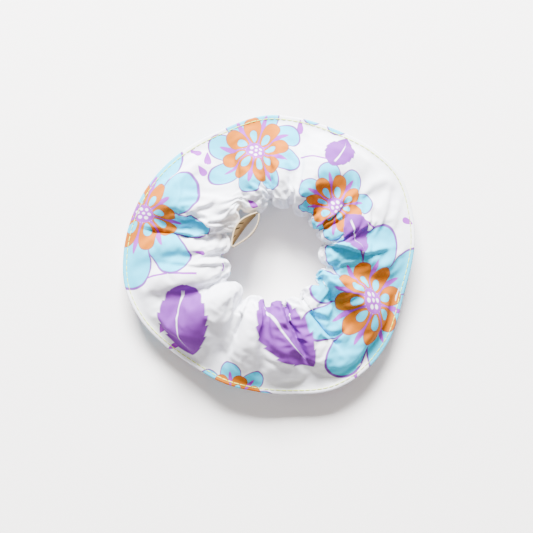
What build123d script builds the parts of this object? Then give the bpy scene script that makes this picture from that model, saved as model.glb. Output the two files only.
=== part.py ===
"""A fabric scrunchie: a sleeve of printed cotton gathered on a loop of flat elastic.

The sleeve is two plies, each cut as a long arc, so that the outer rim lies flat while the
hair opening gathers. They are seamed along both long edges with the allowances turned in,
and topstitched at the outer rim. The sleeve's two ends butt at the closing seam, where
ladder stitches draw them together and a folded tape label is caught at the hair opening.

Units are millimetres. +Z is the ring's axis and points out of the front ply. The origin
is on the flat that the scrunchie lies on, at the centre of the ring.
"""

import os
from math import degrees, hypot, pi

from build123d import *

# The ring as it lies, relaxed.
outer_diameter = 118.0
hole_diameter = 36.0
loft_height = 24.0

# The sleeve: its cloth, its outer rim of four layers, its inner seam, and its closing.
cloth = 0.4
rim_width = 3.2
rim_height = 8.5
seam_allowance = 6.0
allowance_gap = 0.1
fold_gap = 0.3
inner_allowance = 5.0
flat_back_width = 14.0
closing_angle = 107.0
closing_gap = 0.15

# The elastic, whose ends lap, and which can slip round inside the gathers.
elastic_width = 6.0
elastic_thickness = 1.0
elastic_inner_diameter = 53.0
elastic_lap = 12.0
lap_gap = 0.1
lap_ramp_angle = 18.0

# The threads.
thread = 0.3
thread_sink = 0.05
thread_leg = 0.24
stitch_length = 2.5
stitch_gap = 0.4
topstitch_inset = 1.6
seam_thread = 0.2
seam_inset = 0.5
ladder_pitch = 3.0
ladder_reach = 2.4
tack_height = 4.0
tack_pitch = 1.5
tack_margin = 1.5
tack_slant = 15.0

# The label: a tape folded in two, which swings about its caught ends.
tape = 0.45
tape_fold_gap = 0.35
label_width = 12.0
label_length = 16.0
label_wall_gap = 0.35
label_lean = 36.0

# Places that follow from the sizes.
outer_radius = outer_diameter / 2
hole_radius = hole_diameter / 2
mid_height = loft_height / 2
crest_radius = hole_radius + loft_height / 2
fold_radius = (cloth + fold_gap) / 2
fold_start = outer_radius - cloth / 2 - fold_radius
rim_start = outer_radius - rim_width
allowance_start = outer_radius - seam_allowance
allowance_offset = (allowance_gap + cloth) / 2
ply_offset = allowance_offset + cloth + fold_gap
rim_half = ply_offset + cloth / 2
bar_length = stitch_length - stitch_gap
seam_radius = fold_start - seam_inset
inner_seam_radius = hole_radius + cloth / 2 + fold_radius + seam_inset
topstitch_radius = outer_radius - topstitch_inset
topstitch_count = round(2 * pi * topstitch_radius / stitch_length)
elastic_radius = (elastic_inner_diameter + elastic_thickness) / 2
lap_radius = elastic_radius + elastic_thickness + lap_gap
tack_radius = (elastic_radius + lap_radius) / 2
closing_slit = degrees(closing_gap / outer_radius)


def section_plane(angle: float) -> Plane:
    """The plane through the ring's axis at an angle round it: x is outward, y is up."""
    outward = Vector(1, 0, 0).rotate(Axis.Z, angle)
    return Plane(origin=(0, 0, 0), x_dir=outward, z_dir=outward.cross(Vector(0, 0, 1)))


def ply_line(side: int) -> Wire:
    """The middle of a ply's thickness, from its outer raw edge to its inner one.

    The side is 1 for the front and -1 for the back.
    """
    tucked = rim_height + side * allowance_offset
    at_rim = rim_height + side * ply_offset
    at_wall = mid_height + side * (allowance_offset + fold_radius)
    at_seam = mid_height + side * allowance_offset
    outermost = mid_height + side * (mid_height - cloth / 2)
    flat_width = 0 if side > 0 else flat_back_width
    wall_radius = hole_radius + cloth / 2
    with BuildLine() as ply:
        tuck = Line((allowance_start, tucked), (fold_start, tucked))
        turn = (fold_start + fold_radius, (tucked + at_rim) / 2)
        fold = ThreePointArc(tuck @ 1, turn, (fold_start, at_rim))
        rim = Line(fold @ 1, (rim_start, at_rim))
        dome_start = (crest_radius + flat_width, outermost)
        TangentArc(dome_start, rim @ 1, tangent=(1, 0))
        if flat_width:
            Line((crest_radius, outermost), dome_start)
        roll = TangentArc((crest_radius, outermost), (wall_radius, at_wall), tangent=(-1, 0))
        inward = Vector(wall_radius + fold_radius, at_seam)
        RadiusArc(roll @ 1, inward, side * fold_radius)
        Line(inward, (hole_radius + inner_allowance, at_seam))
    return Wire(ply.edges())


# The front ply of printed cotton: its section, turned almost a full circle.
front_line = ply_line(1)
with BuildPart() as front_ply:
    with BuildSketch(section_plane(closing_angle + closing_slit / 2)):
        with BuildLine():
            add(front_line.offset_2d(cloth / 2, kind=Kind.ARC, side=Side.BOTH))
        make_face()
    revolve(axis=Axis.Z, revolution_arc=360 - closing_slit)

# The back ply, which is flat where the scrunchie rests.
back_line = ply_line(-1)
with BuildPart() as back_ply:
    with BuildSketch(section_plane(closing_angle + closing_slit / 2)):
        with BuildLine():
            add(back_line.offset_2d(cloth / 2, kind=Kind.ARC, side=Side.BOTH))
        make_face()
    revolve(axis=Axis.Z, revolution_arc=360 - closing_slit)

# The seam inside the rim, which joins the plies' outer allowances.
with BuildPart() as outer_seam_thread:
    with Locations((0, 0, rim_height)):
        with PolarLocations(seam_radius, round(2 * pi * seam_radius / stitch_length)):
            Box(seam_thread, bar_length, allowance_gap + 2 * (cloth + seam_thread))

# The seam behind the opening's wall, which joins their inner allowances.
with BuildPart() as inner_seam_thread:
    with Locations((0, 0, mid_height)):
        with PolarLocations(
            inner_seam_radius, round(2 * pi * inner_seam_radius / stitch_length)
        ):
            Box(seam_thread, bar_length, allowance_gap + 2 * (cloth + seam_thread))

# The topstitching's needle thread: bars on the rim's front, each with a leg that dives
# through the upper plies.
with BuildPart() as topstitch_needle_thread:
    with BuildSketch(Plane.XY.offset(rim_height + rim_half - thread_sink)):
        with PolarLocations(topstitch_radius, topstitch_count):
            SlotOverall(bar_length, thread, rotation=90)
    extrude(amount=thread)
    with BuildSketch(Plane.XY.offset(rim_height)):
        with PolarLocations(topstitch_radius, topstitch_count):
            with Locations((0, (bar_length - thread) / 2)):
                Circle(thread_leg / 2)
    extrude(amount=rim_half)

# Its bobbin thread: the same from the back, meeting the needle thread at mid thickness.
with BuildPart() as topstitch_bobbin_thread:
    with BuildSketch(Plane.XY.offset(rim_height - rim_half + thread_sink)):
        with PolarLocations(topstitch_radius, topstitch_count):
            SlotOverall(bar_length, thread, rotation=90)
    extrude(amount=-thread)
    with BuildSketch(Plane.XY.offset(rim_height)):
        with PolarLocations(topstitch_radius, topstitch_count):
            with Locations((0, (bar_length - thread) / 2)):
                Circle(thread_leg / 2)
    extrude(amount=-rim_half)

# The ladder stitches of the closing seam: rungs within both plies, across the butt.
rungs = []
for line in (front_line, back_line):
    rung_count = round(line.length / ladder_pitch)
    places = [line @ (rung / rung_count) for rung in range(1, rung_count)]
    rungs += [(place.X, place.Y) for place in places if place.X < rim_start]
with BuildPart() as closing_seam_thread:
    with BuildSketch(section_plane(closing_angle)):
        with Locations(*rungs):
            Circle(thread / 2)
    extrude(amount=ladder_reach / 2, both=True)

# The flat elastic: once round, up a short ramp, and over its own start.
with BuildLine() as elastic_line:
    once = CenterArc((0, 0), elastic_radius, 0, 360 - lap_ramp_angle)
    lap = CenterArc((0, 0), lap_radius, 0, degrees(elastic_lap / lap_radius))
    Line(once @ 1, lap @ 0)
with BuildPart() as elastic:
    with BuildSketch(Plane.XY.offset(mid_height - elastic_width / 2)):
        with BuildLine():
            add(elastic_line.wire().offset_2d(elastic_thickness / 2, side=Side.BOTH))
        make_face()
    extrude(amount=elastic_width)

# The zigzag that joins the elastic's lap.
tack_depth = 2 * (elastic_thickness + thread) + lap_gap
tack_count = int((elastic_lap - 2 * tack_margin) / tack_pitch) + 1
with BuildPart() as elastic_lap_thread:
    for tack in range(tack_count):
        turn = degrees((tack_margin + tack * tack_pitch) / tack_radius)
        slant = tack_slant if tack % 2 else -tack_slant
        with Locations(Location((0, 0, mid_height), (0, 0, turn))):
            with Locations(Location((tack_radius, 0, 0), (slant, 0, 0))):
                Box(tack_depth, thread, tack_height)

# The label: the folded tape stands on edge, its ends together at the opening's wall.
label_bend = (tape + tape_fold_gap) / 2
label_corner = hypot(label_bend + tape / 2, tape / 2)
hinge_radius = hole_radius - label_wall_gap - label_corner
hinge = Vector(hinge_radius, 0, mid_height - label_width / 2).rotate(Axis.Z, closing_angle)
along_label = Vector(1, 0, 0).rotate(Axis.Z, closing_angle + 90 + label_lean)
with BuildPart() as label:
    with BuildSketch(Plane(origin=hinge, x_dir=along_label, z_dir=(0, 0, 1))):
        with BuildLine() as tape_line:
            tip = label_length - tape / 2
            near = Line((0, label_bend), (tip - label_bend, label_bend))
            turn = ThreePointArc(near @ 1, (tip, 0), (tip - label_bend, -label_bend))
            Line(turn @ 1, (0, -label_bend))
            offset(amount=tape / 2, kind=Kind.ARC, side=Side.BOTH, mode=Mode.REPLACE)
        make_face()
    extrude(amount=label_width)

front_ply.part.label = "front_ply"
back_ply.part.label = "back_ply"
outer_seam_thread.part.label = "outer_seam_thread"
inner_seam_thread.part.label = "inner_seam_thread"
topstitch_needle_thread.part.label = "topstitch_needle_thread"
topstitch_bobbin_thread.part.label = "topstitch_bobbin_thread"
closing_seam_thread.part.label = "closing_seam_thread"
elastic.part.label = "elastic"
elastic_lap_thread.part.label = "elastic_lap_thread"
label.part.label = "label"

os.makedirs("parts", exist_ok=True)
export_step(front_ply.part, "parts/front_ply.step")
export_step(back_ply.part, "parts/back_ply.step")
export_step(outer_seam_thread.part, "parts/outer_seam_thread.step")
export_step(inner_seam_thread.part, "parts/inner_seam_thread.step")
export_step(topstitch_needle_thread.part, "parts/topstitch_needle_thread.step")
export_step(topstitch_bobbin_thread.part, "parts/topstitch_bobbin_thread.step")
export_step(closing_seam_thread.part, "parts/closing_seam_thread.step")
export_step(elastic.part, "parts/elastic.step")
export_step(elastic_lap_thread.part, "parts/elastic_lap_thread.step")
export_step(label.part, "parts/label.step")
print(f"front ply cut {front_line.length:.1f} wide, back ply {back_line.length:.1f} wide")
print(f"label hinge at {hinge.X:.3f}, {hinge.Y:.3f}")
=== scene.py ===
"""The scrunchie's looks: printed cotton gathered on its elastic, threads and a tape label.

The two plies are worked as one strip whose flat coordinates are kept as a UV map: U runs
round the ring and V across it, from the back rim through the inner fold, where the inner
seam joins the plies, to the front rim. The strip is folded by formula, settled as cloth,
given its sharp pleats, and then parted into its plies and printed by its flat coordinates.
"""

import math

import bpy
import numpy as np
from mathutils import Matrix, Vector


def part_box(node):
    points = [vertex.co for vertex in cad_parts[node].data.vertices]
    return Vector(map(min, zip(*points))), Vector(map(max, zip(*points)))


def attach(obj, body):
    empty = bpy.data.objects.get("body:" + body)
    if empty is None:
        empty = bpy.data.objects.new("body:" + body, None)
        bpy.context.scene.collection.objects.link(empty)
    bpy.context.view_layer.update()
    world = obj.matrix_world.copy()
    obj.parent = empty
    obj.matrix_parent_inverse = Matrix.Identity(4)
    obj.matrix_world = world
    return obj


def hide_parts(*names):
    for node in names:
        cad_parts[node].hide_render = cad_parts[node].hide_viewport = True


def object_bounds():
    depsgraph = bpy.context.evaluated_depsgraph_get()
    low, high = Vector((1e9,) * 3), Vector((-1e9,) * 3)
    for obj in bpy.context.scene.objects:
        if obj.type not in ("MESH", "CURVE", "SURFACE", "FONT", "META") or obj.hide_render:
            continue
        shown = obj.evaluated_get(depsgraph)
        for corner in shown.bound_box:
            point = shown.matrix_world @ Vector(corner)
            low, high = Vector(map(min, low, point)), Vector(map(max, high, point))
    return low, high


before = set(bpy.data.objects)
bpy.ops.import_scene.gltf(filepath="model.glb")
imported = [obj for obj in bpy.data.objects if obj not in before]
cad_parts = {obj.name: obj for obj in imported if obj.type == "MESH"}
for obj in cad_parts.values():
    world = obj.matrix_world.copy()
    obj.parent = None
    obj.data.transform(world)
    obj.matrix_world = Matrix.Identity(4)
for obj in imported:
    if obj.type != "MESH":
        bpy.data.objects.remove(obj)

MM = 0.001
cad_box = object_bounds()
cad_low, cad_high = (Vector(corner) for corner in cad_box)
label_low, label_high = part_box("label")
elastic_low, elastic_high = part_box("elastic")
ELASTIC_THICKNESS = 1.0 * MM
elastic_outer = elastic_high.y
elastic_inner = elastic_outer - ELASTIC_THICKNESS
needle_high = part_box("topstitch_needle_thread")[1]
bobbin_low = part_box("topstitch_bobbin_thread")[0]

# ---------------------------------------------------------------- camera
VIEW_WIDTH = 217.5 * MM
LENS = 85
SENSOR = 36
VIEW_CENTRE = Vector((-1.0 * MM, -4.9 * MM, 12.0 * MM))

camera_data = bpy.data.cameras.new("camera")
camera_data.lens = LENS
camera_data.sensor_width = SENSOR
camera = bpy.data.objects.new("camera", camera_data)
camera.location = VIEW_CENTRE + Vector((0, 0, VIEW_WIDTH * LENS / SENSOR))
bpy.context.scene.collection.objects.link(camera)
bpy.context.scene.camera = camera

# ---------------------------------------------------------------- the cloth's layout
LOFT = cad_high.z - cad_low.z
MID = LOFT / 2
RING_RADIUS = (cad_high.x - cad_low.x) / 2
CLOTH = 0.35 * MM
RIM_HEIGHT = (needle_high.z + bobbin_low.z) / 2
ROLL_RADIUS = 11.8 * MM
ROLL_CENTRE = 30.0 * MM
OPENING_RADIUS = 18.0 * MM
OPENING_CENTRE = Vector((2.4 * MM, 0.0))
ELASTIC_ROOM = 0.9 * MM
STITCH_INSET = 1.6 * MM
RIM_WIDTH = 3.2 * MM
PLY_GAP = 0.85 * MM
ALLOWANCE = 6.0 * MM
GATHER_ROWS = 42
COLUMNS = 200
RIM_FULLNESS = 1.004
# The least height of the cloth over the floor.
LOWEST = 0.05 * MM
# How uneven the strip is before it settles.
CRUMPLE = 0.05 * MM
# How deep a lobe may sink, as a share of the room between the plies.
FRONT_DEPTH = 0.62
BACK_DEPTH = 0.34
# The share of the way out from the opening within which only the elastic limits a lobe.
ELASTIC_LIMITS = 0.35
# Half of what is kept free of cloth across the elastic's thickness.
ELASTIC_HALF = 1.2 * MM
# The most that a lobe's walls turn from the flat, in radians, how much longer the walls of
# a fuller lobe get, and the share of its cloth that turns in each crease.
WALL_TURN = 1.5
WALL_GROWTH = 1.6
CREASE_SHARE = 0.09

# The outer edge as it lies: degrees round the ring and millimetres from its centre.
OUTLINE = [
    (7, 60.2), (16, 61.3), (31, 63.0), (45, 61.0), (60, 58.4), (76, 57.5), (90, 57.2),
    (111, 54.6), (128, 55.2), (144, 56.5), (164, 58.4), (180, 60.0), (192, 60.8),
    (207, 59.3), (221, 56.8), (235, 55.2), (251, 55.8), (263, 56.2), (280, 58.2),
    (296, 61.6), (307, 62.1), (324, 60.8), (344, 57.6),
]
# The creases between the lobes: degrees round the opening, and degrees round the rim.
CREASES = [
    (14, 4), (31, 31), (49, 37), (71, 76), (95, 91), (130, 106), (157, 168),
    (182, 182), (208, 199), (234, 247), (262, 266), (281, 288), (299, 304), (324, 313),
    (346, 348),
]
# How far each lobe leans over the next, by the degrees of its middle: a share of its
# height, anticlockwise if positive.
LEANS = [
    (5, -0.1), (22, -0.5), (40, -0.6), (60, 0.3), (83, 0.2), (112, -0.2), (143, 0.9),
    (170, 0.2), (195, 0.3), (221, 0.1), (248, 0.3), (272, 0.2), (290, -0.7), (312, -0.6),
    (335, 0.5),
]
# The inner edge of the cut against the outer one.
INNER_CUT = 0.5


def periodic(pairs, at, period=360.0):
    """A smooth closed curve through (place, value) pairs, read at the places `at`."""
    places = np.array([p[0] for p in pairs], float)
    values = np.array([p[1] for p in pairs], float)
    places = np.concatenate([places - period, places, places + period])
    values = np.tile(values, 3)
    slopes = np.gradient(values, places)
    at = np.mod(at - pairs[0][0], period) + pairs[0][0]
    index = np.clip(np.searchsorted(places, at, side="right") - 1, 0, len(places) - 2)
    step = places[index + 1] - places[index]
    t = (at - places[index]) / step
    return (
        (2 * t**3 - 3 * t**2 + 1) * values[index]
        + (t**3 - 2 * t**2 + t) * step * slopes[index]
        + (3 * t**2 - 2 * t**3) * values[index + 1]
        + (t**3 - t**2) * step * slopes[index + 1]
    )


def edge_point(angle):
    """The outer edge of the rim at an angle in degrees, in plan."""
    radius = periodic(OUTLINE, angle) * MM
    turn = np.radians(angle)
    return np.stack([radius * np.cos(turn), radius * np.sin(turn)], -1)


def opening_point(angle):
    """The lobes' tips round the hair opening at an angle in degrees, in plan."""
    turn = np.radians(angle)
    spoke = np.stack([np.cos(turn), np.sin(turn)], -1)
    return np.array(OPENING_CENTRE) + OPENING_RADIUS * spoke


def section(across):
    """The ply's envelope: radius on the unwarped ring, height, and the outward normal.

    `across` is the distance from the inner fold, positive on the front and negative on
    the back.
    """
    side = np.sign(across) + (across == 0)
    distance = np.abs(across)
    rim_z = RIM_HEIGHT + side * PLY_GAP
    top = MID + side * ROLL_RADIUS
    run = RING_RADIUS - RIM_WIDTH - ROLL_CENTRE
    drop = np.abs(top - rim_z)
    dome = (run**2 + drop**2) / (2 * drop)
    dome_turn = np.arcsin(run / dome)
    roll_turn = np.clip(distance / ROLL_RADIUS, 0, math.pi / 2)
    over = np.clip((distance - ROLL_RADIUS * math.pi / 2) / dome, 0, dome_turn)
    past = np.maximum(distance - ROLL_RADIUS * math.pi / 2 - dome * dome_turn, 0)
    radius = ROLL_CENTRE - ROLL_RADIUS * np.cos(roll_turn) + dome * np.sin(over) + past
    height = (
        MID
        + side * ROLL_RADIUS * np.sin(roll_turn)
        - side * dome * (1 - np.cos(over))
    )
    on_roll = roll_turn < math.pi / 2
    normal_r = np.where(on_roll, -np.cos(roll_turn), np.sin(over))
    normal_z = side * np.where(on_roll, np.sin(roll_turn), np.cos(over))
    normal_r = np.where(past > 0, 0, normal_r)
    normal_z = np.where(past > 0, side, normal_z)
    return radius, height, normal_r, normal_z


def ply_length(side):
    """The distance along a ply from the inner fold to the topstitching."""
    tries = np.linspace(0, 80 * MM, 4000)
    radius = section(side * tries)[0]
    return float(np.interp(RING_RADIUS - STITCH_INSET, radius, tries))


def fold_profile(fullness_table, share, along):
    """A lobe from crease to crease, for a lobe whose base is `share` of its cloth.

    Returns the way along the base and the height above it, for `along` from 0 to 1, both
    in units of the lobe's cloth: walls that stand up, a round crest, and sharp creases.
    """
    shares, tables = fullness_table
    index = int(np.clip(np.searchsorted(shares, share), 1, len(shares) - 1))
    mix = (share - shares[index - 1]) / (shares[index] - shares[index - 1])
    mix = min(max(mix, 0.0), 1.0)
    low, high = tables[index - 1], tables[index]
    steps = np.linspace(0, 1, low.shape[1])
    table = low * (1 - mix) + high * mix
    return np.interp(along, steps, table[0]), np.interp(along, steps, table[1])


def fullness():
    """Profiles of a lobe for a range of fullness, each as (base, height) by cloth."""
    steps = np.linspace(0, 1, 241)
    found = []
    for steep in np.linspace(0.02, 3.4, 90):
        wall = min(steep, WALL_TURN)
        slope = 1 + max(steep - WALL_TURN, 0) * WALL_GROWTH
        crest = np.clip(slope * (1 - 2 * steps), -1, 1)
        soft = np.clip(np.minimum(steps, 1 - steps) / CREASE_SHARE, 0, 1)
        way = wall * crest * soft * soft * (3 - 2 * soft)
        base = np.concatenate([[0], np.cumsum((np.cos(way[1:]) + np.cos(way[:-1])) / 2)])
        rise = np.concatenate([[0], np.cumsum((np.sin(way[1:]) + np.sin(way[:-1])) / 2)])
        base, rise = base / (len(steps) - 1), rise / (len(steps) - 1)
        found.append((base[-1], np.stack([base / base[-1], rise])))
    found.sort(key=lambda pair: pair[0])
    return np.array([f[0] for f in found]), [f[1] for f in found]


def rim_wave(angle):
    """How far the rim lifts and dips round the ring, in metres."""
    turn = np.radians(angle)
    return (0.9 * np.sin(3 * turn + 0.6) + 0.6 * np.sin(7 * turn + 2.0)) * MM


def room_to_elastic(plan, height):
    """How far a lobe may sink towards the elastic from a point on the envelope."""
    across = max(elastic_inner - math.hypot(*plan), math.hypot(*plan) - elastic_outer, 0)
    above = max(height - elastic_high.z, elastic_low.z - height, 0)
    return max(math.hypot(across, above) - ELASTIC_ROOM, 0.3 * MM)


def cut_share(v):
    """How long the cut is at a distance from its inner edge, as a share of its outer one."""
    return INNER_CUT + (1 - INNER_CUT) * np.abs(v) / np.where(v > 0, FRONT_HALF, BACK_HALF)


FRONT_HALF = ply_length(1)
BACK_HALF = ply_length(-1)


def gathered():
    """The strip folded by formula: points by row and column, and their flat places."""
    table = fullness()
    inner = np.array([c[0] for c in CREASES], float)
    outer = np.array([c[1] for c in CREASES], float)
    ring = np.linspace(0, 360, 1441)
    edge = edge_point(ring)
    rim_run = np.linalg.norm(np.diff(edge, axis=0), axis=1)
    length = float(rim_run.sum()) * RIM_FULLNESS
    steps = np.linspace(0, 1, GATHER_ROWS + 1)
    flat_v = np.concatenate([-BACK_HALF * steps[:0:-1], FRONT_HALF * steps])
    share_round = np.arange(COLUMNS) / COLUMNS
    noise = np.random.default_rng(7)
    rows = np.zeros((len(flat_v), COLUMNS, 3))
    count = len(CREASES)
    for row, v in enumerate(flat_v):
        radius, height, normal_r, normal_z = (float(x[0]) for x in section(np.array([v])))
        out = (radius - (ROLL_CENTRE - ROLL_RADIUS)) / (
            RING_RADIUS - ROLL_CENTRE + ROLL_RADIUS
        )
        starts = inner + (outer - inner) * out
        row_length = float(length * cut_share(v))
        other = float(section(np.array([-v]))[1][0])
        between = max(abs(height - other) - 2 * PLY_GAP, 0)
        between *= FRONT_DEPTH if v > 0 else BACK_DEPTH
        depths, spans, cloths, limits = [], [], [], []
        for k in range(count):
            ends = starts[(k + 1) % count] + (360 if k == count - 1 else 0)
            a0, a1 = starts[k], ends
            mid = (a0 + a1) / 2
            plan = opening_point(mid) * (1 - out) + edge_point(mid) * out
            reach = np.linalg.norm(plan - np.array(OPENING_CENTRE) * (1 - out))
            base = reach * math.radians(a1 - a0)
            cloth = row_length * (a1 - a0) / 360
            ratio = base / cloth
            profile = fold_profile(table, ratio, np.array([0.5]))
            depths.append(float(profile[1][0]) * cloth)
            spans.append((a0, a1))
            cloths.append(ratio)
            limits.append(room_to_elastic(plan, height))
            if out > ELASTIC_LIMITS:
                limits[k] = min(limits[k], between)
        depths = np.array(depths)
        for k in range(count):
            a0, a1 = spans[k]
            first = np.mod(share_round * 360 - a0, 360)
            inside = first < (a1 - a0)
            along = first[inside] / (a1 - a0)
            base, rise = fold_profile(table, cloths[k], along)
            cloth = row_length * (a1 - a0) / 360
            before = (depths[k - 1] + depths[k]) / 2
            after = (depths[(k + 1) % count] + depths[k]) / 2
            ease = along * along * (3 - 2 * along)
            sink = rise * cloth - before * (1 - ease) - after * ease
            sink *= min(1, limits[k] / max(before, after, 1e-6), 5 * (1 - out))
            lean = periodic(LEANS, np.array([(a0 + a1) / 2]))[0]
            tip = rise * cloth * lean * abs(normal_z) * min(1, 2.5 * (1 - out))
            angle = a0 + base * (a1 - a0)
            plan = opening_point(angle) * (1 - out) + edge_point(angle) * out
            spoke = plan - np.array(OPENING_CENTRE) * (1 - out)
            spoke /= np.linalg.norm(spoke, axis=-1, keepdims=True)
            tangent = np.stack([-spoke[:, 1], spoke[:, 0]], -1)
            plan = plan + spoke * (normal_r * sink)[:, None] + tangent * tip[:, None]
            rows[row, inside, :2] = plan
            rows[row, inside, 2] = height + normal_z * sink + rim_wave(angle) * out**2
    still = np.minimum(np.arange(len(rows)), np.arange(len(rows))[::-1]) / 2
    rows += noise.normal(0, CRUMPLE, rows.shape) * np.minimum(1, still)[:, None, None]
    rows[..., 2] = np.maximum(rows[..., 2], LOWEST)
    return rows, flat_v, length


def mesh_from_grid(name, rows, flat_u, flat_v):
    """A ring of quads from rows of points, with the cloth's flat places as a UV map."""
    count, columns = rows.shape[:2]
    r, c = np.meshgrid(np.arange(count - 1), np.arange(columns), indexing="ij")
    after = (c + 1) % columns
    up, out = r * columns, (r + 1) * columns
    faces = np.stack([up + c, out + c, out + after, up + after], -1).reshape(-1, 4)
    mesh = bpy.data.meshes.new(name)
    mesh.from_pydata(rows.reshape(-1, 3).tolist(), [], faces.tolist())
    corner_u = np.stack([c, c, c + 1, c + 1], -1).reshape(-1)
    corner_v = np.stack([r, r + 1, r + 1, r], -1).reshape(-1)
    uv = np.stack([flat_u[corner_u], flat_v[corner_v]], -1)
    layer = mesh.uv_layers.new(name="cloth")
    layer.data.foreach_set("uv", uv.reshape(-1).astype(np.float32))
    mesh.polygons.foreach_set("use_smooth", [True] * len(mesh.polygons))
    mesh.validate()
    piece = bpy.data.objects.new(name, mesh)
    bpy.context.scene.collection.objects.link(piece)
    return piece


SIM_SCALE = 10.0
SIM_FRAMES = 30


def relaxed(rows, flat_v, length):
    """The folded strip after it has settled as cloth, held at its rim and inner fold."""
    scene = bpy.context.scene
    count, columns = rows.shape[:2]
    flat_u = np.linspace(0, length, columns + 1)
    piece = mesh_from_grid("cloth_to_settle", rows * SIM_SCALE, flat_u, flat_v)
    piece.shape_key_add(name="folded")
    flat = piece.shape_key_add(name="flat")
    turn = np.linspace(0, 2 * math.pi, columns, endpoint=False)
    radius = length / (2 * math.pi) * cut_share(flat_v)
    wide = radius[-1] - radius.min()
    slant = np.where(flat_v > 0, FRONT_HALF, BACK_HALF)
    cut = np.zeros((count, columns, 3))
    cut[..., 0] = radius[:, None] * np.cos(turn)[None]
    cut[..., 1] = radius[:, None] * np.sin(turn)[None]
    cut[..., 2] = (flat_v * np.sqrt(1 - (wide / slant) ** 2))[:, None]
    flat.data.foreach_set("co", (cut * SIM_SCALE).reshape(-1).astype(np.float32))
    held = piece.vertex_groups.new(name="held")
    index = np.arange(count * columns).reshape(count, columns)
    held.add(index[0].tolist() + index[-1].tolist(), 1.0, "REPLACE")
    middle = count // 2
    for offset, weight in ((0, 0.5), (1, 0.3), (2, 0.15)):
        for row in {middle - offset, middle + offset}:
            held.add(index[row].tolist(), weight, "REPLACE")
    cloth = piece.modifiers.new("cloth", "CLOTH")
    settings = cloth.settings
    settings.quality = 8
    settings.mass = 0.2
    settings.tension_stiffness = 30
    settings.compression_stiffness = 30
    settings.shear_stiffness = 10
    settings.bending_model = "ANGULAR"
    settings.bending_stiffness = 1.5
    settings.tension_damping = 10
    settings.compression_damping = 10
    settings.shear_damping = 10
    settings.bending_damping = 1.0
    settings.air_damping = 3
    settings.vertex_group_mass = "held"
    settings.pin_stiffness = 4
    settings.rest_shape_key = flat
    settings.use_pressure = True
    settings.uniform_pressure_force = 0.5
    settings.effector_weights.gravity = 0.1
    cloth.collision_settings.use_collision = True
    cloth.collision_settings.distance_min = 0.3 * MM * SIM_SCALE
    cloth.collision_settings.use_self_collision = True
    cloth.collision_settings.self_distance_min = 0.6 * MM * SIM_SCALE
    cloth.collision_settings.self_friction = 3
    cloth.collision_settings.collision_quality = 2
    bpy.ops.mesh.primitive_torus_add(
        major_radius=(elastic_inner + elastic_outer) / 2 * SIM_SCALE,
        minor_radius=ELASTIC_HALF * SIM_SCALE,
        major_segments=72,
        minor_segments=12,
        location=(0, 0, MID * SIM_SCALE),
    )
    band = bpy.context.object
    band.scale.z = 2.2
    band.modifiers.new("solid", "COLLISION")
    band.collision.thickness_outer = 0.3 * MM * SIM_SCALE
    for frame_number in range(1, SIM_FRAMES + 1):
        scene.frame_set(frame_number)
    settled = piece.evaluated_get(bpy.context.evaluated_depsgraph_get())
    points = np.zeros(count * columns * 3, np.float32)
    settled.data.vertices.foreach_get("co", points)
    scene.frame_set(1)
    bpy.data.objects.remove(piece)
    bpy.data.objects.remove(band)
    points = points.reshape(count, columns, 3).astype(float) / SIM_SCALE
    points[..., 2] = np.maximum(points[..., 2], LOWEST)
    return points


def refined(table, round_the_ring):
    """Rows with a new one on the smooth curve between every two."""
    if round_the_ring:
        padded = np.concatenate([table[-1:], table, table[:2]])
    else:
        first, last = 2 * table[:1] - table[1:2], 2 * table[-1:] - table[-2:-1]
        padded = np.concatenate([first, table, last])
    between = (9 * (padded[1:-2] + padded[2:-1]) - padded[:-3] - padded[3:]) / 16
    count = len(table) + len(between)
    finer = np.zeros((count, *table.shape[1:]))
    finer[0::2] = table
    finer[1::2] = between
    return finer


def pressed(rows):
    """The cloth with its smallest crumples pressed out, its rim as it was."""
    beside = np.roll(rows, 1, 1) + np.roll(rows, -1, 1)
    around = (beside[2:-2] + rows[1:-3] + rows[3:-1]) / 4
    rows[2:-2] = (rows[2:-2] + around) / 2
    return rows


# The sharp folds of the front: how deep, how wide the slope beside it, and its line in plan
# from the opening outwards, with the lower cloth on its left, or on its right where the
# depth is negative. All in millimetres.
PLEATS = [
    (4.2, 6.0, [(-15.5, 8.6), (-30.0, 6.6), (-43.0, 9.0), (-54.0, 11.0)]),
    (1.6, 5.0, [(-17.0, -4.6), (-30.0, -5.2), (-48.0, -3.2)]),
    (1.8, 6.0, [(-7.0, -17.0), (-12.0, -29.0), (-17.5, -41.0)]),
    (4.8, 4.5, [(4.0, -16.0), (9.5, -30.0), (17.0, -46.5)]),
    (5.0, 5.0, [(11.6, -15.0), (19.5, -27.0), (31.0, -41.0)]),
    (3.0, 5.5, [(18.0, -9.0), (25.2, -19.0), (34.0, -34.0)]),
    (-4.4, 5.5, [(19.0, 4.4), (30.0, 2.2), (39.2, -0.8), (51.0, 2.0)]),
    (3.4, 4.0, [(14.0, 13.4), (24.0, 20.5), (35.5, 27.5)]),
    (-2.4, 4.0, [(19.0, 8.0), (25.0, 11.5), (34.0, 17.0)]),
    (-1.6, 4.5, [(-10.5, 16.0), (-12.0, 30.0), (-12.5, 47.0)]),
    (2.6, 3.0, [(1.6, 17.0), (1.0, 24.0), (1.6, 32.0)]),
    (1.2, 4.0, [(7.0, 17.0), (8.6, 30.0), (9.0, 45.0)]),
]
CLIFF = 1.3 * MM
# The cloth stands up beside each cliff: by what share of its depth, and how far.
RIDGE = 0.35
RIDGE_REACH = 3.5 * MM
# How far a pleat runs on past its ends, and the most that pleats lift or sink the cloth.
PLEAT_END = 3 * MM
MOST_LIFT = 2 * MM
MOST_DROP = 5.5 * MM


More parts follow.
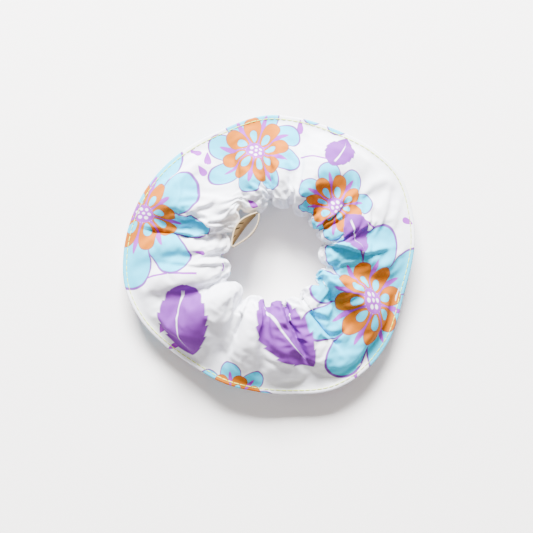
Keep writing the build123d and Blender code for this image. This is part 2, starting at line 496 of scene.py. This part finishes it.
def pleated(rows):
    """The rows with each pleat let into the front: a cliff on one side and a slope beside it."""
    fold = len(rows) // 2
    front = rows[fold:]
    ease = np.clip(np.arange(len(front)) / 8, 0, 1) * np.clip(
        np.arange(len(front))[::-1] / 9, 0, 1
    )
    drop = np.zeros(front.shape[:2])
    for depth, slope, line in PLEATS:
        line = np.array(line) * MM
        runs = np.linalg.norm(np.diff(line, axis=0), axis=1)
        starts = np.concatenate([[0], np.cumsum(runs)])
        nearest = np.full(drop.shape, np.inf)
        aside, along = np.zeros(drop.shape), np.zeros(drop.shape)
        for start, end, run, before in zip(line, line[1:], runs, starts):
            way = (end - start) / run
            spot = front[..., :2] - start
            t = np.clip(spot @ way, 0, run)
            off = spot - t[..., None] * way
            distance = np.linalg.norm(off, axis=-1)
            closer = distance < nearest
            side = np.sign(off @ np.array([-way[1], way[0]]))
            nearest = np.where(closer, distance, nearest)
            aside = np.where(closer, distance * side, aside)
            along = np.where(closer, (before + t) / starts[-1], along)
        if depth < 0:
            depth, aside = -depth, -aside
        fade = np.clip(1.25 - along, 0, 1) * np.clip((1 - along) * 4 + 0.25, 0, 1)
        past_end = (along <= 0) | (along >= 1)
        beyond = np.where(past_end, np.exp(-((nearest / PLEAT_END) ** 2)), 1)
        low = np.exp(-np.clip(aside, 0, None) / (slope * MM))
        cliff = np.clip(1 + aside / CLIFF, 0, 1)
        ridge = -RIDGE * (1 - cliff) * np.exp(np.clip(aside + CLIFF, None, 0) / RIDGE_REACH)
        shape = np.where(aside >= 0, low, cliff * cliff * (3 - 2 * cliff) + ridge)
        drop = drop + depth * MM * fade * beyond * shape
    front[..., 2] -= np.clip(drop, -MOST_LIFT, MOST_DROP) * ease[:, None]
    return rows


# What is kept between each ply and the elastic, and how steeply the cloth falls beside it.
CLEARANCE = 0.5 * MM
SHOULDER = 1.5


def clear_of_elastic(rows):
    """The rows with both plies kept outside the elastic that runs between them."""
    fold = len(rows) // 2
    radius = np.hypot(rows[..., 0], rows[..., 1])
    middle = (elastic_inner + elastic_outer) / 2
    away = np.maximum(np.abs(radius - middle) - ELASTIC_HALF, 0) * SHOULDER
    room = CLOTH + CLEARANCE
    front, back = rows[fold + 1 :], rows[:fold]
    lowest = elastic_high.z + room - away[fold + 1 :]
    highest = elastic_low.z - room + away[:fold]
    lifted = np.maximum(front[..., 2], lowest)
    lowered = np.minimum(back[..., 2], np.maximum(highest, LOWEST))
    front[..., 2] = np.where(lowest > MID, lifted, front[..., 2])
    back[..., 2] = np.where(highest < MID, lowered, back[..., 2])
    return rows


rows, flat_v, strip_length = gathered()
rows = relaxed(rows, flat_v, strip_length)
rows = pressed(rows)
rows = refined(rows, False)
rows = refined(rows.swapaxes(0, 1), True).swapaxes(0, 1)
flat_v = refined(flat_v, False)
rows = clear_of_elastic(pleated(rows))
fold_row = len(rows) // 2


# ---------------------------------------------------------------- shaders
class Wire:
    """A shader socket that can be written in arithmetic."""

    def __init__(self, tree, socket):
        self.tree = tree
        self.socket = socket

    def math(self, operation, *others, clamp=False):
        return node(
            self.tree, "ShaderNodeMath", (self, *others), operation=operation, use_clamp=clamp
        )

    def __add__(self, other):
        return self.math("ADD", other)

    def __sub__(self, other):
        return self.math("SUBTRACT", other)

    def __mul__(self, other):
        return self.math("MULTIPLY", other)

    def __truediv__(self, other):
        return self.math("DIVIDE", other)

    def __pow__(self, other):
        return self.math("POWER", other)

    __radd__ = __add__
    __rmul__ = __mul__

    def __rsub__(self, other):
        return self * -1 + other

    def __rtruediv__(self, other):
        return node(self.tree, "ShaderNodeMath", (other, self), operation="DIVIDE")

    def above(self, level=0.0, soft=0.05):
        """1 where this is over the level and 0 where it is under it."""
        return ((self - level) / soft).math("ADD", 0.5, clamp=True)

    def paint(self, under, over):
        """The colour `over` laid on the colour `under` where this is 1."""
        return node(self.tree, "ShaderNodeMixRGB", (self, under, over))


def node(tree, kind, values=(), out=0, **settings):
    """A node with its settings made and its inputs filled, as the wire from one output."""
    made = tree.nodes.new(kind)
    for name, value in settings.items():
        setattr(made, name, value)
    for key, value in values.items() if isinstance(values, dict) else enumerate(values):
        if isinstance(value, Wire):
            tree.links.new(value.socket, made.inputs[key])
        else:
            made.inputs[key].default_value = value
    return Wire(tree, made.outputs[out])


def map_wires(tree, name):
    """The two coordinates of a UV map, and the map itself."""
    whole = node(tree, "ShaderNodeUVMap", uv_map=name)
    return (
        node(tree, "ShaderNodeSeparateXYZ", (whole,)),
        node(tree, "ShaderNodeSeparateXYZ", (whole,), out=1),
        whole,
    )


WHITE = (0.79, 0.80, 0.87, 1)
PALE_BLUE = (0.02, 0.50, 0.74, 1)
ORANGE = (0.42, 0.11, 0.0, 1)
PURPLE = (0.17, 0.028, 0.30, 1)
LAVENDER = (0.28, 0.03, 0.43, 1)
OUTLINE_PURPLE = (0.15, 0.035, 0.29, 1)
OUTLINE_BROWN = (0.24, 0.06, 0.045, 1)
WRONG_SIDE_GREY = (0.62, 0.62, 0.66, 1)
NEON_YELLOW = (0.62, 0.74, 0.12, 1)
THREAD_WHITE = (0.72, 0.72, 0.72, 1)
KNIT_WHITE = (0.70, 0.70, 0.70, 1)
TAPE_CREAM = (0.46, 0.36, 0.23, 1)
MARK_BLACK = (0.02, 0.02, 0.02, 1)
PAPER = (0.98, 0.955, 0.945, 1)
SKY = (1, 0.94, 0.91, 1)


def ellipse(x, y, centre, reach, width, widening=0.0):
    """A field over 0 inside an ellipse along x, wider further out by `widening`."""
    along = (x - centre) / reach
    across = y / (x * widening + width)
    return 1 - along * along - across * across


def bloom(tree, ground, map_name, reach):
    """Flowers on the ground colour: round blue petals out to `reach`, orange ones to 1."""
    x, y, _ = map_wires(tree, map_name)
    distance = (x * x + y * y) ** 0.5
    turn = y.math("ARCTAN2", x) / (2 * math.pi)

    def petals(count, offset):
        share = ((turn * count + (offset + 10)).math("FRACT") - 0.5) * (2 * math.pi / count)
        return distance * share.math("COSINE"), distance * share.math("SINE")

    px, py = petals(8, 0.0)
    petal = ellipse(px, py, reach * 0.6, reach * 0.4, reach * 0.13, 0.185)
    ground = petal.above(0).paint(ground, OUTLINE_PURPLE)
    ground = petal.above(0.16).paint(ground, PALE_BLUE)
    accent = ellipse(px, py, 0.66, 0.42, 0.07)
    ground = accent.above(0, 0.2).paint(ground, LAVENDER)
    px, py = petals(8, 0.5)
    petal = ellipse(px, py, 0.61, 0.4, 0.075, 0.245)
    ground = petal.above(0).paint(ground, OUTLINE_BROWN)
    ground = petal.above(0.12).paint(ground, ORANGE)
    drop = ellipse(px, py, 0.46, 0.17, 0.01, 0.17)
    ground = drop.above(-0.22).paint(ground, OUTLINE_BROWN)
    ground = drop.above(0).paint(ground, PALE_BLUE)
    ground = (0.27 - distance).above(0, 0.02).paint(ground, LAVENDER)
    px, py = petals(6, 0.2)
    dots = 0.047 - ((px - 0.15) * (px - 0.15) + py * py) ** 0.5
    dots = dots.math("MAXIMUM", 0.04 - distance)
    return dots.above(0, 0.02).paint(ground, WHITE)


def leaves(tree, ground, map_name):
    """Toothed leaves with a pale midrib."""
    x, y, _ = map_wires(tree, map_name)
    inside = (x * (1 - x) * 4).math("MAXIMUM", 0)
    tooth = (x * 7).math("FRACT") * 0.035
    width = inside**0.75 * (0.36 - x * 0.08) - tooth * inside
    side = y.math("ABSOLUTE")
    width = width.math("MINIMUM", (x - 0.015) * 3 + side * 2.2)
    ground = (width - side - 0.01).above(0, 0.02).paint(ground, PURPLE)
    bent = (y + (x * x - x) * 0.16).math("ABSOLUTE")
    rib = (0.022 - x * 0.027 - bent).math("MINIMUM", (x - 0.14) * 0.2)
    return rib.above(0, 0.01).paint(ground, WHITE)


def specks(tree, ground, map_name):
    """Small teardrops."""
    x, y, _ = map_wires(tree, map_name)
    return ellipse(x, y, 0.5, 0.5, 0.10, 0.24).above(0, 0.1).paint(ground, LAVENDER)


def lines(tree, ground, map_name):
    """Thin printed stems."""
    x, y, _ = map_wires(tree, map_name)
    inside = (1 - y.math("ABSOLUTE")).math("MINIMUM", (0.5 - (x - 0.5).math("ABSOLUTE")) * 20)
    return inside.above(0, 0.4).paint(ground, LAVENDER)


def cloth_material(name, colour=None, roughness=0.85, weave=1600.0, relief=0.3):
    """A woven finish in one colour, or in the colour that `colour(tree)` wires up."""
    material = bpy.data.materials.new(name)
    material.use_nodes = True
    tree = material.node_tree
    shader = tree.nodes["Principled BSDF"]
    shader.inputs["Roughness"].default_value = roughness
    shader.inputs["Specular IOR Level"].default_value = 0.2
    if callable(colour):
        tree.links.new(colour(tree).socket, shader.inputs["Base Color"])
        place = map_wires(tree, "cloth")[2]
    else:
        shader.inputs["Base Color"].default_value = colour
        place = node(tree, "ShaderNodeTexCoord", out=3)
    grain = node(tree, "ShaderNodeTexNoise", {"Vector": place, "Scale": weave, "Detail": 2.0})
    raised_grain = {"Strength": relief, "Distance": 0.1 * MM, "Height": grain}
    bump = node(tree, "ShaderNodeBump", raised_grain)
    tree.links.new(bump.socket, shader.inputs["Normal"])
    return material


def printed(tree):
    """The cotton's print: stems, teardrops, small and large flowers, and leaves."""
    ground = node(tree, "ShaderNodeRGB")
    ground.socket.default_value = WHITE
    ground = lines(tree, ground, "stem")
    ground = specks(tree, ground, "drop")
    ground = bloom(tree, ground, "posy", 1.42)
    ground = bloom(tree, ground, "flower", 1.98)
    return leaves(tree, ground, "leaf")


cotton = cloth_material("printed_cotton", printed)
wrong_side = cloth_material("cotton_wrong_side", WRONG_SIDE_GREY)
neon = cloth_material("neon_thread", NEON_YELLOW, 0.6)
white_thread = cloth_material("white_thread", THREAD_WHITE, 0.6)
elastic_knit = cloth_material("knitted_elastic", KNIT_WHITE, 0.8, 900, 0.8)

# ---------------------------------------------------------------- the print's layout
# Each motif runs from its base to its tip: degrees round the strip, and millimetres out
# from the inner fold, for each. A flower's are its centre and the end of an orange petal.
FRONT_PRINT = {
    "flower": [
        (161.4, 48.5, 152, 34), (334.3, 34.8, 329.5, 52.5),
    ],
    "posy": [
        (98.8, 36.7, 101, 20.5), (39.4, 19.5, 35.8, 32.5), (66.5, 69, 67, 55),
        (256, 60, 257, 46.5),
    ],
    "leaf": [
        (197.5, 26, 232, 48.5), (251, 1, 291, 39.5), (29, 21.5, 0.5, 27.5), (55, 31.5, 56, 51),
    ],
    "drop": [
        (119, 50, 114, 44), (121, 46, 123, 40), (140, 53, 141, 48), (127, 41, 125, 36),
        (125, 32, 121, 29), (118, 12, 113, 7), (66, 22, 63, 16), (77, 52, 76, 46),
        (12, 52, 15, 48), (178, 22, 179, 16), (181, 53, 181, 47),
        (216, 50, 214, 44.5), (223, 53, 224, 48), (305, 53, 307, 47), (150, 54, 149, 49),
        (127, 51, 124, 46),
    ],
    "stem": [
        (190.5, 50, 190.3, 30), (190.3, 30, 192.8, 20), (189.9, 8, 195.6, 8),
        (73.4, 33.5, 57.2, 34), (24, 27, 8.1, 39.3),
    ],
}
BACK_PRINT = {
    "flower": [(20, 40, 26, 28), (130, 28, 124, 42), (232, 44, 226, 32)],
    "posy": [(75, 44, 80, 30), (180, 16, 187, 30), (296, 44, 296, 29)],
    "leaf": [(50, 8, 60, 44), (152, 50, 172, 26), (262, 12, 272, 46), (330, 48, 318, 14)],
    "drop": [
        (45, 50, 48, 44), (100, 50, 104, 44), (205, 50, 204, 43), (250, 51, 248, 45),
        (280, 20, 284, 14), (345, 30, 350, 24), (350, 50, 349, 44), (215, 14, 210, 8),
    ],
    "stem": [(88, 12, 98, 30), (200, 30, 212, 12), (305, 12, 300, 30)],
}
STEM_HALF_WIDTH = 0.45 * MM


def flat_place(degrees, across, about, half):
    """Where a spot lies on the flat cut, aside from and along the spoke at `about`."""
    sweep = (1 - INNER_CUT) * strip_length / half
    turn = (np.mod(degrees - about + 180, 360) - 180) / 360 * sweep
    radius = INNER_CUT * half / (1 - INNER_CUT) + across
    return np.stack([radius * np.sin(turn), radius * np.cos(turn)], -1)


def motif_map(mesh, name, motifs, half):
    """A UV map that gives every face its place in the frame of the nearest motif."""
    corners = np.zeros(len(mesh.loops) * 2, np.float32)
    mesh.uv_layers["cloth"].data.foreach_get("uv", corners)
    corners = corners.reshape(-1, 4, 2).astype(float)
    degrees, across = corners[..., 0] / strip_length * 360, np.abs(corners[..., 1])
    middle = 0.0 if name in ("flower", "posy") else 0.5
    best, local = np.full(len(corners), np.inf), np.zeros_like(corners)
    for base_turn, base_out, tip_turn, tip_out in motifs:
        base = flat_place(base_turn, base_out * MM, base_turn, half)
        tip = flat_place(tip_turn, tip_out * MM, base_turn, half)
        reach = np.linalg.norm(tip - base)
        along = (tip - base) / reach
        spots = flat_place(degrees, across, base_turn, half) - base
        x = spots @ along / reach
        y = spots @ np.array([-along[1], along[0]])
        away = np.hypot(x - middle, y / reach).mean(1) * (1 if middle == 0 else reach)
        nearer = away < best
        best[nearer] = away[nearer]
        y = y / (STEM_HALF_WIDTH if name == "stem" else reach)
        local[nearer] = np.stack([x, y], -1)[nearer]
    layer = mesh.uv_layers.new(name=name)
    layer.data.foreach_set("uv", local.reshape(-1).astype(np.float32))


# ---------------------------------------------------------------- the two plies
def as_plain_mesh(piece, name):
    """The piece with its modifiers made real, in place of the one that had them."""
    shown = piece.evaluated_get(bpy.context.evaluated_depsgraph_get())
    mesh = bpy.data.meshes.new_from_object(shown)
    bpy.data.objects.remove(piece)
    mesh.name = name
    plain = bpy.data.objects.new(name, mesh)
    bpy.context.scene.collection.objects.link(plain)
    return plain


def with_hem(ply_rows, ply_v, rim_middle, side):
    """A ply's rows with its edge and its turned-in seam allowance added."""
    spoke = rim_middle * np.array([1, 1, 0])
    spoke /= np.linalg.norm(spoke, axis=-1, keepdims=True)
    turn = [(0.8, 0.85), (1.3, 0.7), (STITCH_INSET / MM, 0.42), (1.3, 0.14), (0.8, 0.05)]
    turn += [(-1.0, 0.05), (STITCH_INSET / MM - ALLOWANCE / MM, 0.05)]
    rows_out, v_out = list(ply_rows), list(ply_v)
    last_out, last_up = 0.0, PLY_GAP / MM
    for out, up in turn:
        rows_out.append(rim_middle + spoke * out * MM + np.array([0, 0, side * up * MM]))
        v_out.append(v_out[-1] + side * math.hypot(out - last_out, up - last_up) * MM)
        last_out, last_up = out, up
    return np.array(rows_out), np.array(v_out)


def ply(name, ply_rows, ply_v, motifs, side):
    """One ply of cotton as a closed sheet, printed on its right side."""
    flat_u = np.linspace(0, strip_length, ply_rows.shape[1] + 1)
    if side < 0:
        ply_rows, ply_v = ply_rows[::-1], ply_v[::-1]
    piece = mesh_from_grid(name + "_grid", ply_rows, flat_u, ply_v)
    piece.data.materials.append(cotton)
    piece.data.materials.append(wrong_side)
    thick = piece.modifiers.new("thick", "SOLIDIFY")
    thick.thickness = CLOTH
    thick.offset = -1
    thick.material_offset = 1
    piece = as_plain_mesh(piece, name)
    for kind, placed in motifs.items():
        motif_map(piece.data, kind, placed, FRONT_HALF if side > 0 else BACK_HALF)
    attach(piece, "cover")
    return piece


rim_middle = (rows[0] + rows[-1]) / 2
front_rows, front_v = with_hem(rows[fold_row:], flat_v[fold_row:], rim_middle, 1)
back_rows, back_v = with_hem(rows[fold_row::-1], flat_v[fold_row::-1], rim_middle, -1)
front = ply("front_cotton", front_rows, front_v, FRONT_PRINT, 1)
back = ply("back_cotton", back_rows, back_v, BACK_PRINT, -1)
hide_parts("front_ply")
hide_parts("back_ply")

# ---------------------------------------------------------------- stitches
RIM_STITCHES = 146
INNER_STITCHES = 96
LADDER_STITCHES = 16  # on each ply
RIM_STITCH_LENGTH = 2.1 * MM
INNER_STITCH_LENGTH = 1.8 * MM
LADDER_STITCH_LENGTH = 1.4 * MM
TOPSTITCH_RADIUS = 0.17 * MM
SEAM_RADIUS = 0.1 * MM
# How much a stitch bows, and how high the topstitches lie on the cloth.
TOPSTITCH_BOW = 0.14 * MM
SEAM_BOW = 0.02 * MM
TOPSTITCH_RISE = 0.08 * MM
# How far out the outer seam is from the topstitching, and the inner one from the fold.
OUTER_SEAM_OUT = 1.0 * MM
INNER_SEAM_OUT = 0.8 * MM
# How deep the ladder stitches lie, and how many rows from the fold and the rim they stop.
LADDER_DEPTH = 0.7 * MM
LADDER_START = 24
LADDER_END = 6


def stitch_group():
    """A node group that lays one bent stitch at every step along a curve."""
    group = bpy.data.node_groups.new("stitches", "GeometryNodeTree")
    face = group.interface
    face.new_socket("Geometry", in_out="INPUT", socket_type="NodeSocketGeometry")
    for name, kind in (("Count", "Int"), ("Length", "Float"), ("Radius", "Float")):
        face.new_socket(name, in_out="INPUT", socket_type="NodeSocket" + kind)
    face.new_socket("Lift", in_out="INPUT", socket_type="NodeSocketFloat")
    face.new_socket("Material", in_out="INPUT", socket_type="NodeSocketMaterial")
    face.new_socket("Geometry", in_out="OUTPUT", socket_type="NodeSocketGeometry")
    given = group.nodes.new("NodeGroupInput")
    inputs = {o.name: Wire(group, o) for o in given.outputs if o.name}
    reach, lift = inputs["Length"] * 0.5, inputs["Lift"]
    start = node(group, "ShaderNodeCombineXYZ", (reach * -1, 0.0, lift * -1))
    top = node(group, "ShaderNodeCombineXYZ", (0.0, 0.0, lift * 2))
    end = node(group, "ShaderNodeCombineXYZ", (reach, 0.0, lift * -1))
    bend = node(
        group,
        "GeometryNodeCurveQuadraticBezier",
        {"Resolution": 6, "Start": start, "Middle": top, "End": end},
    )
    circle = node(
        group, "GeometryNodeCurvePrimitiveCircle", {"Resolution": 6, "Radius": inputs["Radius"]}
    )
    thread = node(
        group,
        "GeometryNodeCurveToMesh",
        {"Curve": bend, "Profile Curve": circle, "Fill Caps": True},
    )
    path = node(
        group,
        "GeometryNodeResampleCurve",
        {"Curve": inputs["Geometry"], "Count": inputs["Count"]},
    )
    way = node(group, "GeometryNodeInputTangent")
    turned = node(
        group, "FunctionNodeAlignRotationToVector", {"Vector": way}, axis="X", pivot_axis="Z"
    )
    laid = node(
        group,
        "GeometryNodeInstanceOnPoints",
        {"Points": path, "Instance": thread, "Rotation": turned},
    )
    real = node(group, "GeometryNodeRealizeInstances", {"Geometry": laid})
    done = node(
        group, "GeometryNodeSetMaterial", {"Geometry": real, "Material": inputs["Material"]}
    )
    group.links.new(done.socket, group.nodes.new("NodeGroupOutput").inputs[0])
    return group


STITCHES = stitch_group()


def stitched(name, paths, closed, count, length, radius, lift, material, stands_for):
    """Stitches along each path of points, riding with the cover."""
    curve = bpy.data.curves.new(name, "CURVE")
    curve.dimensions = "3D"
    for path in paths:
        spline = curve.splines.new("POLY")
        spline.points.add(len(path) - 1)
        spline.points.foreach_set("co", np.pad(path, ((0, 0), (0, 1))).reshape(-1))
        spline.use_cyclic_u = closed
    line = bpy.data.objects.new(name + "_line", curve)
    bpy.context.scene.collection.objects.link(line)
    sewn = line.modifiers.new("stitches", "NODES")
    sewn.node_group = STITCHES
    given = {"Count": count, "Length": length, "Radius": radius, "Lift": lift}
    for socket in STITCHES.interface.items_tree:
        if socket.in_out == "INPUT" and socket.name in given:
            sewn[socket.identifier] = given[socket.name]
        elif socket.in_out == "INPUT" and socket.name == "Material":
            sewn[socket.identifier] = material
    piece = as_plain_mesh(line, name)
    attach(piece, "cover")
    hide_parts(stands_for)


def raised(height):
    """A vector that far up."""
    return np.array([0, 0, height])


spoke = rim_middle * np.array([1, 1, 0])
spoke /= np.linalg.norm(spoke, axis=-1, keepdims=True)
stitched(
    "needle_stitches", [rows[-1] + raised(TOPSTITCH_RISE)], True, RIM_STITCHES,
    RIM_STITCH_LENGTH, TOPSTITCH_RADIUS, TOPSTITCH_BOW, neon,
    "topstitch_needle_thread",
)
stitched(
    "bobbin_stitches", [rows[0] - raised(TOPSTITCH_RISE)], True, RIM_STITCHES,
    RIM_STITCH_LENGTH, TOPSTITCH_RADIUS, -TOPSTITCH_BOW, white_thread,
    "topstitch_bobbin_thread",
)
stitched(
    "outer_seam_stitches", [rim_middle + spoke * OUTER_SEAM_OUT], True, RIM_STITCHES,
    RIM_STITCH_LENGTH, SEAM_RADIUS, SEAM_BOW, white_thread,
    "outer_seam_thread",
)
inner_fold = rows[fold_row]
fold_spoke = (inner_fold - np.array([*OPENING_CENTRE, MID])) * np.array([1, 1, 0])
fold_spoke /= np.linalg.norm(fold_spoke, axis=-1, keepdims=True)
stitched(
    "inner_seam_stitches", [inner_fold + fold_spoke * INNER_SEAM_OUT], True, INNER_STITCHES,
    INNER_STITCH_LENGTH, SEAM_RADIUS, SEAM_BOW, white_thread,
    "inner_seam_thread",
)
label_turn = math.degrees(math.atan2(label_high.y, label_high.x))
seam_column = round(label_turn / 360 * rows.shape[1])
front_run = rows[fold_row + LADDER_START : -LADDER_END, seam_column] - raised(LADDER_DEPTH)
back_run = rows[LADDER_END : fold_row - LADDER_START, seam_column] + raised(LADDER_DEPTH)
stitched(
    "closing_seam_stitches", [front_run, back_run], False, LADDER_STITCHES,
    LADDER_STITCH_LENGTH, SEAM_RADIUS, SEAM_BOW, white_thread,
    "closing_seam_thread",
)

# ---------------------------------------------------------------- the label
TAPE = 0.45 * MM
BULGE = 2.6 * MM
FLAT_SIDE_BULGE = 0.5 * MM
LEAN = 3.0 * MM
# Half the gap between the tape's two ends where the seam holds them.
SEAM_GAP = 0.4 * MM
# The marks: where they stand along the tape, their middle across it, and their bars.
MARK_PLACES = (21.0 * MM, 27.0 * MM)
MARK_MIDDLE = 9.0 * MM
BAR_SPACING = 1.3 * MM
BAR_SLANT = 0.35
BAR_HALF_WIDTH = 0.35 * MM
BAR_HALF_LENGTH = 2.2 * MM


def tape_colour(tree):
    """Cream tape with two woven marks, each a pair of slanted bars."""
    x, y, _ = map_wires(tree, "cloth")
    ground = node(tree, "ShaderNodeRGB")
    ground.socket.default_value = TAPE_CREAM
    for place in MARK_PLACES:
        for side in (-BAR_SPACING, BAR_SPACING):
            slant = x - place - side + (y - MARK_MIDDLE) * BAR_SLANT
            length_left = BAR_HALF_LENGTH - (y - MARK_MIDDLE).math("ABSOLUTE")
            bar = (BAR_HALF_WIDTH - slant.math("ABSOLUTE")).math("MINIMUM", length_left)
            ground = bar.above(0, 0.2 * MM).paint(ground, MARK_BLACK)
    return ground


def label_loop():
    """The tape as a loop on edge, from the seam round its fold and back."""
    root = Vector((label_high.x, label_high.y))
    tip = Vector((label_low.x, label_low.y))
    way = (tip - root).normalized()
    aside = Vector((way.y, -way.x))
    if aside.x < 0:
        aside = -aside
    reach = (tip - root).length
    share = np.linspace(0, 1, 25)
    belly = np.sin(math.pi * share**0.8)
    out = [(s * reach, b * BULGE + SEAM_GAP) for s, b in zip(share, belly)]
    home = [(s * reach, -b * FLAT_SIDE_BULGE - SEAM_GAP) for s, b in zip(share, belly)]
    home = home[::-1]
    plan = np.array(out + home)
    heights = np.linspace(label_low.z, label_high.z, 13)
    grid = np.zeros((len(heights), len(plan), 3))
    for row, height in enumerate(heights):
        rise = row / (len(heights) - 1)
        bow = np.sin(math.pi * plan[:, 0] / reach)
        shift = -LEAN * rise * (np.arange(len(plan)) >= len(out)) * bow
        for column, (along, across) in enumerate(plan):
            spot = root + way * along + aside * (across + shift[column])
            grid[row, column] = (*spot, height)
    run = np.concatenate([[0], np.cumsum(np.linalg.norm(np.diff(plan, axis=0), axis=1))])
    return grid, run, heights - heights[0]


grid, run, up = label_loop()
vertices = grid.reshape(-1, 3)
wide = grid.shape[1]
faces, places = [], []
for r in range(grid.shape[0] - 1):
    for c in range(wide - 1):
        ring = [(r, c), (r, c + 1), (r + 1, c + 1), (r + 1, c)]
        faces.append([i * wide + j for i, j in ring])
        places += [(run[j], up[i]) for i, j in ring]
tape_mesh = bpy.data.meshes.new("label_tape")
tape_mesh.from_pydata(vertices.tolist(), [], faces)
tape_map = tape_mesh.uv_layers.new(name="cloth")
tape_map.data.foreach_set("uv", np.array(places, np.float32).reshape(-1))
tape_mesh.polygons.foreach_set("use_smooth", [True] * len(tape_mesh.polygons))
tape_mesh.materials.append(cloth_material("label_tape", tape_colour, 0.75, 2500))
tape = bpy.data.objects.new("label_grid", tape_mesh)
bpy.context.scene.collection.objects.link(tape)
tape_thick = tape.modifiers.new("thick", "SOLIDIFY")
tape_thick.thickness = TAPE
tape_thick.offset = 0
tape = as_plain_mesh(tape, "folded_label")
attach(tape, "label")
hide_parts("label")

for name, material in (("elastic", elastic_knit), ("elastic_lap_thread", white_thread)):
    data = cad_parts[name].data
    data.materials.clear()
    data.materials.append(material)


def cut_area(half):
    """The flat area of a ply, its outer seam allowance included."""
    return strip_length * (1 + INNER_CUT) / 2 * half + strip_length * 7.0 * MM


cut_area(FRONT_HALF)
cut_area(BACK_HALF)

# ---------------------------------------------------------------- stage and light
floor_mesh = bpy.data.meshes.new("floor")
floor_mesh.from_pydata([(-1, -1, 0), (1, -1, 0), (1, 1, 0), (-1, 1, 0)], [], [(0, 1, 2, 3)])
floor = bpy.data.objects.new("floor", floor_mesh)
bpy.context.scene.collection.objects.link(floor)
paper = bpy.data.materials.new("paper")
paper.use_nodes = True
paper.node_tree.nodes["Principled BSDF"].inputs["Base Color"].default_value = PAPER
floor_mesh.materials.append(paper)

world = bpy.data.worlds.new("studio")
world.use_nodes = True
background = world.node_tree.nodes["Background"]
background.inputs["Color"].default_value = SKY
background.inputs["Strength"].default_value = 0.74
bpy.context.scene.world = world
softbox_data = bpy.data.lights.new("softbox", "AREA")
softbox_data.shape = "RECTANGLE"
softbox_data.size, softbox_data.size_y = 0.75, 0.45
softbox_data.energy = 208
softbox = bpy.data.objects.new("softbox", softbox_data)
softbox.location = (-0.1, 1.2, 0.8)
softbox.rotation_euler = (-softbox.location).to_track_quat("-Z", "Y").to_euler()
bpy.context.scene.collection.objects.link(softbox)
